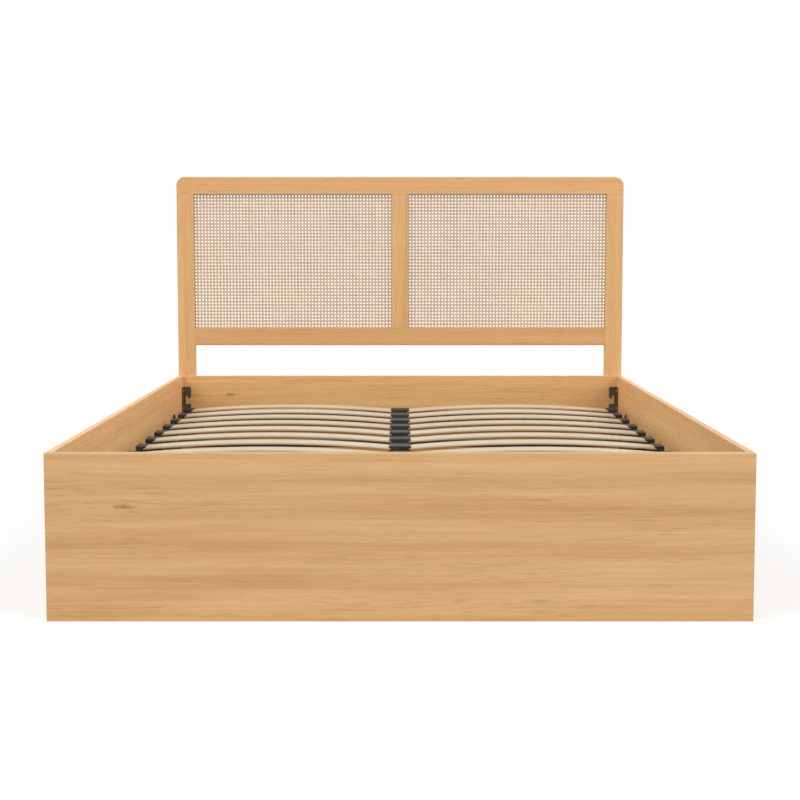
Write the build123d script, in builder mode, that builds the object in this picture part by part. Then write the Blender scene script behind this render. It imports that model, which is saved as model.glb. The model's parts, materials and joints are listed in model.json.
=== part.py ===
from build123d import *
import math
import os

# A double bed with a cane headboard and a gas-lift platform over its storage box.
# Lengths are in millimetres. +X is to the right seen from the foot, +Y runs from the foot
# to the headboard, +Z is up. The origin is on the floor under the middle of the bed.

# Box of four panels
bed_width = 1460
frame_length = 2064
panel_height = 350
side_thickness = 16
head_thickness = 16
foot_thickness = 25
panel_edge = 1.2

# Headboard
headboard_height = 1000
headboard_thickness = 30
post_width = 56
top_rail_height = 56
corner_radius = 28
lower_rail_height = 57
lower_rail_rise = 450
centre_stile_width = 56
headboard_edge = 2
cane_thickness = 2.5
cane_set_back = 8
cane_play = 0.5
rebate = 9
bead_depth = 10

# Corner brackets
bracket_gauge = 3
bracket_top_gap = 36
bracket_flange = 26.5
bracket_side_flange = 30
bracket_leg = 9.5
bracket_arm = 26
bracket_slot = 30
bracket_slots = 3
bracket_lip = 7.5
bracket_lip_drop = 11
bracket_corner = 3

# Fasteners
hook_pin_diameter = 9
hook_pin_depth = 12
hook_pin_head = 15
screw_diameter = 4
screw_depth = 12
screw_head = 9
bolt_diameter = 8
bolt_depth_in_post = 20
bolt_head = 15
flat_head_height = 2.4
fastener_sides = 6
hook_pin_sides = 8
bolt_head_height = 4.5

# Lift-up platform of steel tube
lift_angle = 38
tube_width = 30
tube_height = 40
tube_wall = 2
cross_tube_height = 20
cross_tubes_per_side = 2
platform_foot_gap = 10
platform_head_gap = 12
rail_gap = 60
tube_top = 238.5
plug_flange = 2
plug_depth = 12

# Sprung slats and their caps
slat_rows = 12
first_row = 118
last_row = 107.6
slat_width = 63
slat_thickness = 8
slat_bow = 16
cap_height = 13.5
cap_wall = 1.6
cap_floor = 1.6
cap_gap = 23
cap_cover = 22
cap_base_overlap = 2
mouth_sagitta = 5
pocket_depth = 17
pocket_clearance = 0.3
centre_cap_cover = 50
centre_cap_base = 66
peg_side = 9
peg_length = 12
peg_clearance = 0.2

# Pivot and gas struts
pivot_from_head = 230
pivot_pin_diameter = 12
sleeve_diameter = 20
sleeve_overhang = 2
running_clearance = 0.05
side_clearance = 1
hinge_plate = 4
hinge_plate_radius = 28
hinge_plate_sides = 8
hinge_screw_ring = 18
nut_thickness = 8
nut_across = 20
strut_foot_ahead = 52
strut_foot_drop = 155
strut_head_ahead = 273
strut_gap = 30
strut_pin_diameter = 8
strut_collar_diameter = 14
eye_blade_width = 20
eye_blade_corner = 6
strut_eye_width = 12
open_eye_clearance = 3.9
open_eye_wall = 4.6
stud_plate = 3
stud_plate_length = 44
stud_plate_height = 34
clip_thickness = 1.5
clip_width = 5
cylinder_diameter = 22
cylinder_wall = 1.6
cylinder_length = 150
cylinder_guide = 10
cylinder_base = 3
rod_diameter = 10
piston_length = 8
piston_reserve = 4
neck_length = 14

# Rests, bearer and storage floor
pad_thickness = 5
rest_gauge = 4
rest_width = 50
rest_leg = 60
rest_from_pivot = (611, 1291)
rest_overlap = 6
gusset = 3
rest_screw_spacing = 30
bearer_depth = 30
bearer_height = 60
bearer_end_gap = 94
bearer_pad_spacing = 450
bearer_pad_length = 50
batten_width = 20
batten_height = 25
centre_batten_width = 60
floor_board_thickness = 6
floor_gap = 1

# Mattress bar and pull strap
bar_side = 12
bar_span = 420
bar_rise = 78
bar_bend = 30
strap_width = 40
strap_thickness = 2
strap_length = 56
strap_clearance = 0.3

# Places of the panels and the headboard
foot_front = -(frame_length + headboard_thickness) / 2
foot_inner = foot_front + foot_thickness
head_rear = foot_front + frame_length
head_inner = head_rear - head_thickness
headboard_rear = head_rear + headboard_thickness
side_outer = bed_width / 2
side_inner = side_outer - side_thickness
well_length = head_inner - foot_inner
well_middle = (head_inner + foot_inner) / 2
well_plane = Plane.XZ.offset(-well_middle)
top_rail_bottom = headboard_height - top_rail_height
lower_rail_top = lower_rail_rise + lower_rail_height
window_width = side_outer - post_width - centre_stile_width / 2
window_height = top_rail_bottom - lower_rail_top
window_x = (centre_stile_width + window_width) / 2
window_z = (top_rail_bottom + lower_rail_top) / 2

# Places of the platform
rail_outer = side_inner - rail_gap
rail_inner = rail_outer - tube_width
rail_middle = rail_outer - tube_width / 2
tube_bottom = tube_top - tube_height
tube_middle = tube_top - tube_height / 2
platform_foot = foot_inner + platform_foot_gap
platform_head = head_inner - platform_head_gap
platform_length = platform_head - platform_foot
slat_pitch = (well_length - first_row - last_row) / (slat_rows - 1)
row_places = [foot_inner + first_row + slat_pitch * i for i in range(slat_rows)]
cap_outer = side_inner - cap_gap
side_mouth = cap_outer - cap_cover
centre_mouth = centre_cap_cover / 2
slat_inner_end = centre_mouth - pocket_depth
slat_outer_end = side_mouth + pocket_depth
slat_middle = (slat_inner_end + slat_outer_end) / 2
slat_foot = tube_top + cap_floor

# Places of the pivot and the struts
pivot = (head_inner - pivot_from_head, tube_middle)
strut_foot = (pivot[0] - strut_foot_ahead, pivot[1] - strut_foot_drop)
strut_head = (pivot[0] - strut_head_ahead, pivot[1])
strut_x = side_inner - strut_gap
strut_run = (0, strut_head[0] - strut_foot[0], strut_head[1] - strut_foot[1])
strut_plane = Plane((strut_x, *strut_foot), x_dir=strut_run, z_dir=(1, 0, 0))
strut_length = math.dist(strut_foot, strut_head)
lift = math.radians(lift_angle)
strut_head_lifted = (pivot[0] - strut_head_ahead * math.cos(lift),
                     pivot[1] + strut_head_ahead * math.sin(lift))
strut_stroke = math.dist(strut_foot, strut_head_lifted) - strut_length
hinge_face = side_inner - hinge_plate
eye_outer = strut_x + strut_eye_width / 2
eye_inner = strut_x - strut_eye_width / 2

os.makedirs("parts", exist_ok=True)


# Every finished piece is labelled and written under its own name
def save(piece, name):
    piece.part.label = name
    export_step(piece.part, f"parts/{name}.step")


# The piece on the other side of the bed is the mirror image of the first
def save_pair(piece, name):
    save(piece, f"{name}_right")
    with BuildPart() as other:
        mirror(piece.part, about=Plane.YZ)
    save(other, f"{name}_left")


# Fasteners of both sides share one node
def save_both_sides(piece, name):
    with BuildPart() as both:
        add(piece.part)
        mirror(piece.part, about=Plane.YZ)
    save(both, name)


# Fastener with few sides: the head stands on the XY plane and the shank goes below it
def headed_pin(shank, depth, head, head_height, sides):
    with BuildPart() as pin:
        with BuildSketch(Plane.XY.offset(-depth)):
            RegularPolygon(shank / 2, sides)
        extrude(amount=depth)
        with BuildSketch():
            RegularPolygon(head / 2, sides)
        extrude(amount=head_height)
    return pin.part


# Disc or post along X between two depths, centred on a point of the YZ plane
def round_bar(centre, start, end, diameter, mode=Mode.ADD):
    with BuildSketch(Plane.YZ.offset(start)) as disc:
        with Locations(centre):
            Circle(diameter / 2)
    extrude(disc.sketch, amount=end - start, mode=mode)


# Steel corner angle of the right head corner, with hook slots in its head flange
bracket_top = panel_height - bracket_top_gap
bracket_height = (bracket_slots + 1) * bracket_arm + bracket_slots * bracket_slot
bracket_middle = bracket_top - bracket_height / 2
bracket_edge = side_inner - bracket_flange
slot_end = side_inner - bracket_leg
lip_side = bracket_edge + bracket_lip
recess_radius = (slot_end - lip_side) / 2
recess_x = slot_end - recess_radius
bracket_pitch = bracket_arm + bracket_slot
slot_tops = [bracket_top - bracket_arm - bracket_pitch * i for i in range(bracket_slots)]
arm_heights = [bracket_top - bracket_arm / 2 - bracket_pitch * i
               for i in range(bracket_slots + 1)]
with BuildPart() as corner_bracket:
    with BuildSketch(Plane.XZ.offset(-head_inner)):
        with Locations((side_inner - bracket_flange / 2, bracket_middle)):
            Rectangle(bracket_flange, bracket_height)
        for top in slot_tops:
            with BuildLine():
                Polyline((lip_side, top - recess_radius), (lip_side, top - bracket_lip_drop),
                         (bracket_edge, top - bracket_lip_drop),
                         (bracket_edge, top - bracket_slot), (slot_end, top - bracket_slot),
                         (slot_end, top - recess_radius))
                ThreePointArc((slot_end, top - recess_radius), (recess_x, top),
                              (lip_side, top - recess_radius))
            make_face(mode=Mode.SUBTRACT)
        chamfer(vertices().group_by(Axis.X)[0], length=bracket_corner)
    extrude(amount=bracket_gauge)
    with BuildSketch(Plane.YZ.offset(side_inner)):
        with Locations((head_inner - bracket_side_flange / 2, bracket_middle)):
            Rectangle(bracket_side_flange, bracket_height)
        chamfer(vertices().group_by(Axis.X)[0], length=bracket_corner)
    extrude(amount=-bracket_gauge)

# Fasteners of the right head corner
screw = headed_pin(screw_diameter, screw_depth + bracket_gauge, screw_head, flat_head_height,
                   fastener_sides)
screw_y = head_inner - (bracket_side_flange + bracket_gauge) / 2
with BuildPart() as corner_screws:
    for z in arm_heights:
        with Locations(Plane((side_inner - bracket_gauge, screw_y, z), z_dir=(-1, 0, 0))):
            add(screw)
hook_pin = headed_pin(hook_pin_diameter, hook_pin_depth + bracket_gauge, hook_pin_head,
                      flat_head_height, hook_pin_sides)
flange_face = head_inner - bracket_gauge
with BuildPart() as corner_pins:
    for top in slot_tops[1:]:
        with Locations(Plane((recess_x, flange_face, top - recess_radius), z_dir=(0, -1, 0))):
            add(hook_pin)
bolt = headed_pin(bolt_diameter, bolt_depth_in_post + head_thickness + bracket_gauge,
                  bolt_head, bolt_head_height, fastener_sides)
flange_middle = side_inner - bracket_flange / 2
with BuildPart() as corner_bolts:
    for z in arm_heights[2:]:
        with Locations(Plane((flange_middle, flange_face, z), z_dir=(0, -1, 0))):
            add(bolt)
save_both_sides(corner_bolts, "headboard_bolts")

# The screws and pins of the foot corners mirror those of the head corners
with BuildPart() as side_screws:
    add(corner_screws.part)
    mirror(corner_screws.part, about=well_plane)
save_both_sides(side_screws, "bracket_screws")
with BuildPart() as end_pins:
    add(corner_pins.part)
    mirror(corner_pins.part, about=well_plane)
save_both_sides(end_pins, "hook_pins")

# Each bracket is drilled by its own fasteners
with BuildPart() as foot_bracket:
    mirror(corner_bracket.part, about=well_plane)
    add(side_screws.part, mode=Mode.SUBTRACT)
save_pair(foot_bracket, "corner_bracket_foot")
with BuildPart() as head_bracket:
    add(corner_bracket.part)
    add(side_screws.part, mode=Mode.SUBTRACT)
    add(corner_bolts.part, mode=Mode.SUBTRACT)
save_pair(head_bracket, "corner_bracket_head")

# Hinge plate on the right side panel, from the pivot down to the strut's lower pin
hinge_screw = headed_pin(screw_diameter, screw_depth + hinge_plate, screw_head,
                         flat_head_height, fastener_sides)
with BuildPart() as hinge_screws:
    for centre in (pivot, strut_foot):
        for side in (-1, 1):
            place = (hinge_face, centre[0] + side * hinge_screw_ring, centre[1])
            with Locations(Plane(place, z_dir=(-1, 0, 0))):
                add(hinge_screw)
save_both_sides(hinge_screws, "hinge_screws")
with BuildPart() as hinge_plate_piece:
    with BuildSketch(Plane.YZ.offset(side_inner)):
        with Locations(pivot, strut_foot):
            RegularPolygon(hinge_plate_radius, hinge_plate_sides)
        make_hull()
    extrude(amount=-hinge_plate)
    add(hinge_screws.part, mode=Mode.SUBTRACT)
save_pair(hinge_plate_piece, "hinge_plate")

# Pivot pin: a shouldered stud on the hinge plate, through the rail's sleeve, with a nut
sleeve_out = rail_outer + sleeve_overhang
sleeve_in = rail_inner - sleeve_overhang
nut_out = sleeve_in - side_clearance
pin_end = nut_out - nut_thickness - side_clearance
with BuildPart() as pivot_pin:
    round_bar(pivot, hinge_face, sleeve_out + side_clearance, sleeve_diameter)
    round_bar(pivot, hinge_face, pin_end, pivot_pin_diameter)
save_both_sides(pivot_pin, "pivot_pins")
with BuildPart() as pivot_nut:
    with BuildSketch(Plane.YZ.offset(nut_out)):
        with Locations(pivot):
            RegularPolygon(nut_across / 2, 6)
            Circle(pivot_pin_diameter / 2, mode=Mode.SUBTRACT)
    extrude(amount=-nut_thickness)
save_both_sides(pivot_nut, "pivot_nuts")

# Lower strut pin on the hinge plate, with its collar and clip
with BuildPart() as strut_pin:
    round_bar(strut_foot, hinge_face, eye_outer + side_clearance, strut_collar_diameter)
    round_bar(strut_foot, hinge_face, eye_inner - side_clearance - 2 * clip_thickness,
              strut_pin_diameter)
save_both_sides(strut_pin, "strut_lower_pins")
with BuildPart() as strut_clip:
    with BuildSketch(Plane.YZ.offset(eye_inner - side_clearance)):
        with Locations(strut_foot):
            RegularPolygon(strut_pin_diameter / 2 + clip_width, fastener_sides)
    extrude(amount=-clip_thickness)
    add(strut_pin.part, mode=Mode.SUBTRACT)
save_both_sides(strut_clip, "strut_lower_clips")

# Flat end fitting of a strut: a blade with its outer corners cut off
def end_blade(eye, foot, width):
    tip = eye + math.copysign(width / 2, eye - foot)
    with BuildSketch(strut_plane) as blade:
        with Locations(((tip + foot) / 2, 0)):
            Rectangle(abs(tip - foot), width)
        chamfer(vertices().group_by(Axis.X)[-1 if tip > foot else 0], length=eye_blade_corner)
    extrude(blade.sketch, amount=strut_eye_width / 2, both=True)


# Lower eye of the strut turns on that pin
cylinder_start = eye_blade_width / 2 + neck_length
cylinder_end = cylinder_start + cylinder_length
strut_axis = Axis(strut_plane.origin, strut_plane.x_dir)
with BuildPart() as strut_eye:
    end_blade(0, cylinder_start, eye_blade_width)
    round_bar(strut_foot, eye_inner, eye_outer, strut_pin_diameter + 2 * running_clearance,
              mode=Mode.SUBTRACT)
save_pair(strut_eye, "strut_eye")

# Pressure cylinder with a closed base and a guide round the rod
bore = cylinder_diameter / 2 - cylinder_wall
guide_bore = rod_diameter / 2 + running_clearance
with BuildPart() as strut_cylinder:
    with BuildSketch(strut_plane):
        with BuildLine():
            Polyline((cylinder_start, 0), (cylinder_start, cylinder_diameter / 2),
                     (cylinder_end, cylinder_diameter / 2), (cylinder_end, guide_bore),
                     (cylinder_end - cylinder_guide, guide_bore),
                     (cylinder_end - cylinder_guide, bore),
                     (cylinder_start + cylinder_base, bore),
                     (cylinder_start + cylinder_base, 0), close=True)
        make_face()
    revolve(axis=strut_axis)
save_pair(strut_cylinder, "strut_cylinder")

# Rod and its piston, drawn in as far as the closed platform pushes them
open_eye_diameter = strut_pin_diameter + 2 * open_eye_clearance
open_eye_outer = open_eye_diameter + 2 * open_eye_wall
fitting_start = strut_length - open_eye_outer / 2 - neck_length
piston_start = cylinder_end - cylinder_guide - piston_length - piston_reserve - strut_stroke
piston_end = piston_start + piston_length
with BuildPart() as strut_rod:
    with BuildSketch(strut_plane):
        with BuildLine():
            Polyline((piston_start, 0), (piston_start, bore - running_clearance),
                     (piston_end, bore - running_clearance), (piston_end, rod_diameter / 2),
                     (fitting_start, rod_diameter / 2), (fitting_start, 0), close=True)
        make_face()
    revolve(axis=strut_axis)
save_pair(strut_rod, "strut_rod")

# Upper fitting of the rod: its eye is wide enough for the stud's small drift
with BuildPart() as rod_fitting:
    end_blade(strut_length, fitting_start, open_eye_outer)
    round_bar(strut_head, eye_inner, eye_outer, open_eye_diameter, mode=Mode.SUBTRACT)
save_pair(rod_fitting, "rod_fitting")

# Stud plate on the platform's rail, which the strut lifts
stud_face = rail_outer + stud_plate
with BuildPart() as stud_bracket:
    with BuildSketch(Plane.YZ.offset(rail_outer)):
        with Locations(strut_head):
            Rectangle(stud_plate_length, stud_plate_height)
    extrude(amount=stud_plate)
    round_bar(strut_head, stud_face, eye_inner - side_clearance, open_eye_outer)
    round_bar(strut_head, stud_face, eye_outer + side_clearance + 2 * clip_thickness,
              strut_pin_diameter)
save_both_sides(stud_bracket, "strut_stud_plates")
with BuildPart() as stud_clip:
    with BuildSketch(Plane.YZ.offset(eye_outer + side_clearance)):
        with Locations(strut_head):
            RegularPolygon(open_eye_outer / 2, fastener_sides)
    extrude(amount=clip_thickness)
    add(stud_bracket.part, mode=Mode.SUBTRACT)
save_both_sides(stud_clip, "strut_upper_clips")

# Rest brackets on the side panels carry the closed platform's rails on rubber pads
rest_top = tube_bottom - pad_thickness
rest_reach = side_inner - rail_inner + rest_overlap
rest_places = [pivot[0] - distance for distance in rest_from_pivot]
with BuildPart() as rest_bracket:
    for y in rest_places:
        with BuildSketch(Plane.XZ.offset(-y)):
            with BuildLine():
                Polyline((side_inner, rest_top), (side_inner - rest_reach, rest_top),
                         (side_inner - rest_reach, rest_top - rest_gauge),
                         (side_inner - rest_gauge, rest_top - rest_gauge),
                         (side_inner - rest_gauge, rest_top - rest_leg),
                         (side_inner, rest_top - rest_leg), close=True)
            make_face()
        extrude(amount=rest_width / 2, both=True)
        with BuildSketch(Plane.XZ.offset(-y)):
            with BuildLine():
                Polyline((side_inner - rest_gauge, rest_top - rest_gauge),
                         (side_inner - rest_reach, rest_top - rest_gauge),
                         (side_inner - rest_gauge, rest_top - rest_leg), close=True)
            make_face()
        extrude(amount=gusset / 2, both=True)
rest_screw = headed_pin(screw_diameter, screw_depth + rest_gauge, screw_head, flat_head_height,
                        fastener_sides)
with BuildPart() as rest_screws:
    for y in rest_places:
        for side in (-1, 1):
            place = (side_inner - rest_gauge, y + side * rest_screw_spacing / 2,
                     rest_top - rest_leg / 2)
            with Locations(Plane(place, z_dir=(-1, 0, 0))):
                add(rest_screw)
save_both_sides(rest_screws, "rest_screws")
with rest_bracket:
    add(rest_screws.part, mode=Mode.SUBTRACT)
save_both_sides(rest_bracket, "rest_brackets")
with BuildPart() as rest_pads:
    with BuildSketch(Plane.XY.offset(rest_top)):
        with Locations(*[(rail_middle, y) for y in rest_places]):
            Rectangle(tube_width, rest_width)
    extrude(amount=pad_thickness)
save_both_sides(rest_pads, "rest_pads")

# Foot bearer under the platform's foot tube, with its pads
bearer_pad_depth = bearer_depth - platform_foot_gap
with BuildPart() as foot_bearer:
    with BuildSketch(Plane.XY.offset(rest_top - bearer_height)):
        with Locations((0, foot_inner + bearer_depth / 2)):
            Rectangle(2 * (side_inner - bearer_end_gap), bearer_depth)
    extrude(amount=bearer_height)
save(foot_bearer, "foot_bearer")
with BuildPart() as bearer_pads:
    with BuildSketch(Plane.XY.offset(rest_top)):
        with Locations((0, platform_foot + bearer_pad_depth / 2)):
            with GridLocations(bearer_pad_spacing, 1, 3, 1):
                Rectangle(bearer_pad_length, bearer_pad_depth)
    extrude(amount=pad_thickness)
save(bearer_pads, "bearer_pads")

# Foot panel across the whole width
with BuildPart() as foot_panel:
    with BuildSketch():
        with Locations((0, (foot_front + foot_inner) / 2)):
            Rectangle(bed_width, foot_thickness)
    extrude(amount=panel_height)
    rims = edges().group_by(Axis.Z)[-1] + edges().filter_by(Axis.Z).group_by(Axis.Y)[0]
    chamfer(rims, length=panel_edge)
    add(end_pins.part, mode=Mode.SUBTRACT)
    mirror(end_pins.part, about=Plane.YZ, mode=Mode.SUBTRACT)
save(foot_panel, "foot_panel")

# Side panels behind the foot panel
with BuildPart() as side_panel:
    with BuildSketch():
        with Locations(((side_inner + side_outer) / 2, (foot_inner + head_rear) / 2)):
            Rectangle(side_thickness, head_rear - foot_inner)
    extrude(amount=panel_height)
    chamfer(edges().filter_by(Axis.Y).group_by(Axis.Z)[-1], length=panel_edge)
    add(side_screws.part, mode=Mode.SUBTRACT)
    add(hinge_screws.part, mode=Mode.SUBTRACT)
    add(rest_screws.part, mode=Mode.SUBTRACT)
save_pair(side_panel, "side_panel")

# Head panel between the side panels
with BuildPart() as head_panel:
    with BuildSketch():
        with Locations((0, (head_inner + head_rear) / 2)):
            Rectangle(2 * side_inner, head_thickness)
    extrude(amount=panel_height)
    chamfer(edges().filter_by(Axis.X).group_by(Axis.Z)[-1], length=panel_edge)
    for fasteners in (end_pins.part, corner_bolts.part):
        add(fasteners, mode=Mode.SUBTRACT)
        mirror(fasteners, about=Plane.YZ, mode=Mode.SUBTRACT)
save(head_panel, "head_panel")

# Planes of the headboard's front and back faces, and the rebate behind each window
headboard_front_plane = Plane.XZ.offset(-head_rear)
headboard_back_plane = Plane.XZ.offset(-headboard_rear)


def cut_rebates():
    with BuildSketch(headboard_back_plane) as rebates:
        with Locations((window_x, window_z), (-window_x, window_z)):
            Rectangle(window_width + 2 * rebate, window_height + 2 * rebate)
    extrude(rebates.sketch, amount=headboard_thickness - cane_set_back, mode=Mode.SUBTRACT)


# Top rail across the posts, rounded at both ends
with BuildPart() as top_rail:
    with BuildSketch(headboard_front_plane):
        with Locations((0, headboard_height - top_rail_height / 2)):
            Rectangle(bed_width, top_rail_height)
        fillet(vertices().group_by(Axis.Y)[-1], radius=corner_radius)
    extrude(amount=-headboard_thickness)
    outline = edges().group_by(Axis.Y)[0].sort_by(Axis.Z)[1:]
    outline += edges().group_by(Axis.Y)[-1].sort_by(Axis.Z)[1:]
    chamfer(outline, length=headboard_edge)
    cut_rebates()
save(top_rail, "headboard_top_rail")

# Posts stand on the floor behind the box
with BuildPart() as post:
    with BuildSketch(headboard_front_plane):
        with Locations((side_outer - post_width / 2, top_rail_bottom / 2)):
            Rectangle(post_width, top_rail_bottom)
    extrude(amount=-headboard_thickness)
    chamfer(edges().filter_by(Axis.Z).group_by(Axis.X)[-1], length=headboard_edge)
    cut_rebates()
    add(corner_bolts.part, mode=Mode.SUBTRACT)
save_pair(post, "headboard_post")

# Lower rail between the posts
with BuildPart() as lower_rail:
    with BuildSketch(headboard_front_plane):
        with Locations((0, lower_rail_rise + lower_rail_height / 2)):
            Rectangle(bed_width - 2 * post_width, lower_rail_height)
    extrude(amount=-headboard_thickness)
    chamfer(edges().filter_by(Axis.X).group_by(Axis.Z)[0], length=headboard_edge)
    cut_rebates()
save(lower_rail, "headboard_lower_rail")

# Centre stile between the two windows
with BuildPart() as centre_stile:
    with BuildSketch(headboard_front_plane):
        with Locations((0, window_z)):
            Rectangle(centre_stile_width, window_height)
    extrude(amount=-headboard_thickness)
    cut_rebates()
save(centre_stile, "headboard_centre_stile")

# Cane sheet in each window, and the bead that holds it from behind
cane_front = Plane.XZ.offset(-head_rear - cane_set_back)
with BuildPart() as cane_panel:
    with BuildSketch(cane_front):
        with Locations((window_x, window_z)):
            Rectangle(window_width + 2 * (rebate - cane_play),
                      window_height + 2 * (rebate - cane_play))
    extrude(amount=-cane_thickness)
save_pair(cane_panel, "cane_panel")
with BuildPart() as cane_bead:
    with BuildSketch(cane_front.offset(-cane_thickness)):
        with Locations((window_x, window_z)):
            Rectangle(window_width + 2 * rebate, window_height + 2 * rebate)
            Rectangle(window_width, window_height, mode=Mode.SUBTRACT)
    extrude(amount=-bead_depth)
save_both_sides(cane_bead, "cane_beads")

# Platform side rails: tubes pierced for the slat caps' pegs and the pivot sleeve
hole_side = peg_side + 2 * peg_clearance


def pierce_for_pegs(x):
    with BuildSketch(Plane.XY.offset(tube_top)) as holes:
        with Locations(*[(x, y) for y in row_places]):
            Rectangle(hole_side, hole_side)
    extrude(holes.sketch, amount=-tube_wall, mode=Mode.SUBTRACT)


with BuildPart() as platform_rail:
    with BuildSketch(Plane.XZ.offset(-platform_foot)):
        with Locations((rail_middle, tube_middle)):
            Rectangle(tube_width, tube_height)
            Rectangle(tube_width - 2 * tube_wall, tube_height - 2 * tube_wall,
                      mode=Mode.SUBTRACT)
    extrude(amount=-platform_length)
    pierce_for_pegs(rail_middle)
    round_bar(pivot, rail_inner, rail_outer, sleeve_diameter, mode=Mode.SUBTRACT)
save_pair(platform_rail, "platform_rail")
with BuildPart() as pivot_sleeve:
    round_bar(pivot, sleeve_in, sleeve_out, sleeve_diameter)
    round_bar(pivot, sleeve_in, sleeve_out, pivot_pin_diameter + 2 * running_clearance,
              mode=Mode.SUBTRACT)
save_both_sides(pivot_sleeve, "pivot_sleeves")

# Plugs close the four open ends of the rails
with BuildPart() as tube_plugs:
    for end, way in ((platform_foot, 1), (platform_head, -1)):
        with BuildSketch(Plane.XZ.offset(-end)):
            with Locations((rail_middle, tube_middle)):
                Rectangle(tube_width, tube_height)
        extrude(amount=way * plug_flange)
        with BuildSketch(Plane.XZ.offset(-end)):
            with Locations((rail_middle, tube_middle)):
                Rectangle(tube_width - 2 * tube_wall, tube_height - 2 * tube_wall)
        extrude(amount=-way * plug_depth)
save_both_sides(tube_plugs, "tube_plugs")


# Cross tube along X between two depths, welded to its neighbours
def cross_tube(start, end, middle, bottom, height):
    with BuildSketch(Plane.YZ.offset(start)) as section:
        with Locations((middle, bottom + height / 2)):
            Rectangle(tube_width, height)
            Rectangle(tube_width - 2 * tube_wall, height - 2 * tube_wall, mode=Mode.SUBTRACT)
    extrude(section.sketch, amount=end - start)


head_tube_middle = platform_head - tube_width / 2
foot_tube_middle = platform_foot + tube_width / 2
with BuildPart() as head_tube:
    cross_tube(-rail_inner, rail_inner, head_tube_middle, tube_bottom, tube_height)
save(head_tube, "platform_head_tube")
with BuildPart() as foot_tube:
    cross_tube(-rail_inner, rail_inner, foot_tube_middle, tube_bottom, tube_height)
save(foot_tube, "platform_foot_tube")
with BuildPart() as centre_bar:
    with BuildSketch(Plane.XZ.offset(-platform_foot - tube_width)):
        with Locations((0, tube_middle)):
            Rectangle(tube_width, tube_height)
            Rectangle(tube_width - 2 * tube_wall, tube_height - 2 * tube_wall,
                      mode=Mode.SUBTRACT)
    extrude(amount=-(platform_length - 2 * tube_width))
    pierce_for_pegs(0)
save(centre_bar, "platform_centre_bar")
cross_spacing = platform_length / (cross_tubes_per_side + 1)
with BuildPart() as cross_tubes:
    for i in range(cross_tubes_per_side):
        cross_tube(tube_width / 2, rail_inner, platform_foot + cross_spacing * (i + 1),
                   tube_bottom, cross_tube_height)
save_both_sides(cross_tubes, "platform_cross_tubes")


# One sprung slat, bowed upwards, then a whole column of them
slat_roof = slat_foot + slat_thickness
with BuildPart() as slat:
    with BuildSketch(Plane.XZ):
        with BuildLine():
            ThreePointArc((slat_inner_end, slat_foot), (slat_middle, slat_foot + slat_bow),
                          (slat_outer_end, slat_foot))
            Line((slat_outer_end, slat_foot), (slat_outer_end, slat_roof))
            ThreePointArc((slat_outer_end, slat_roof), (slat_middle, slat_roof + slat_bow),
                          (slat_inner_end, slat_roof))
            Line((slat_inner_end, slat_roof), (slat_inner_end, slat_foot))
        make_face()
    extrude(amount=slat_width / 2, both=True)
with BuildPart() as slats:
    with Locations(*[(0, y, 0) for y in row_places]):
        add(slat.part)
save_pair(slats, "slats")

# Cap: a pocket for the slat's end, open above the slat inwards of its hollowed mouth.
# Over the short reach of a cap the bowed slat is as good as straight.
pocket_width = slat_width + 2 * pocket_clearance
cap_width = pocket_width + 2 * cap_wall
pocket_floor = slat_foot - pocket_clearance
pocket_roof = slat_roof + pocket_clearance
half_span = (slat_outer_end - slat_inner_end) / 2
bow_radius = (half_span ** 2 + slat_bow ** 2) / (2 * slat_bow)


def slat_cap(wall_end, slat_end, base_end, mouth):
    outward = 1 if wall_end > base_end else -1
    pocket_end = slat_end + outward * pocket_clearance
    corner = mouth - outward * mouth_sagitta
    half_pocket = pocket_width / 2
    from_middle = half_span - abs(slat_end - base_end)
    rise = math.sqrt(bow_radius ** 2 - from_middle ** 2) - (bow_radius - slat_bow)
    with BuildPart() as cap:
        with BuildSketch(Plane.XY.offset(tube_top)):
            with Locations(((wall_end + base_end) / 2, 0)):
                Rectangle(abs(wall_end - base_end), cap_width)
        extrude(amount=cap_height)
        with BuildSketch(Plane.XZ):
            with BuildLine():
                Polyline((pocket_end, pocket_floor), (pocket_end, pocket_roof),
                         (base_end, pocket_roof + rise), (base_end, pocket_floor + rise),
                         close=True)
            make_face()
        extrude(amount=half_pocket, both=True, mode=Mode.SUBTRACT)
        with BuildSketch(Plane.XY.offset(pocket_floor + rise)):
            with Locations(((corner + base_end) / 2, 0)):
                Rectangle(abs(corner - base_end), cap_width)
        extrude(amount=cap_height, mode=Mode.SUBTRACT)
        with BuildSketch(Plane.XY.offset(pocket_roof)):
            with BuildLine():
                Polyline((corner, -half_pocket), (mouth, -half_pocket / 2),
                         (mouth, half_pocket / 2), (corner, half_pocket), close=True)
            make_face()
        extrude(amount=cap_height, mode=Mode.SUBTRACT)
    return cap.part


# Peg under a cap, which clips into the tube below it
def cap_peg(x):
    with BuildSketch(Plane.XY.offset(tube_top)) as peg:
        with Locations((x, 0)):
            Rectangle(peg_side, peg_side)
    extrude(peg.sketch, amount=-peg_length)


with BuildPart() as side_cap:
    add(slat_cap(cap_outer, slat_outer_end, rail_inner - cap_base_overlap, side_mouth))
    cap_peg(rail_middle)
with BuildPart() as side_caps:
    with Locations(*[(0, y, 0) for y in row_places]):
        add(side_cap.part)
save_pair(side_caps, "side_caps")
centre_half = slat_cap(0, slat_inner_end, centre_cap_base / 2, centre_mouth)
with BuildPart() as centre_cap:
    add(centre_half)
    mirror(centre_half, about=Plane.YZ)
    cap_peg(0)
with BuildPart() as centre_caps:
    with Locations(*[(0, y, 0) for y in row_places]):
        add(centre_cap.part)
save(centre_caps, "centre_caps")

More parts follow.
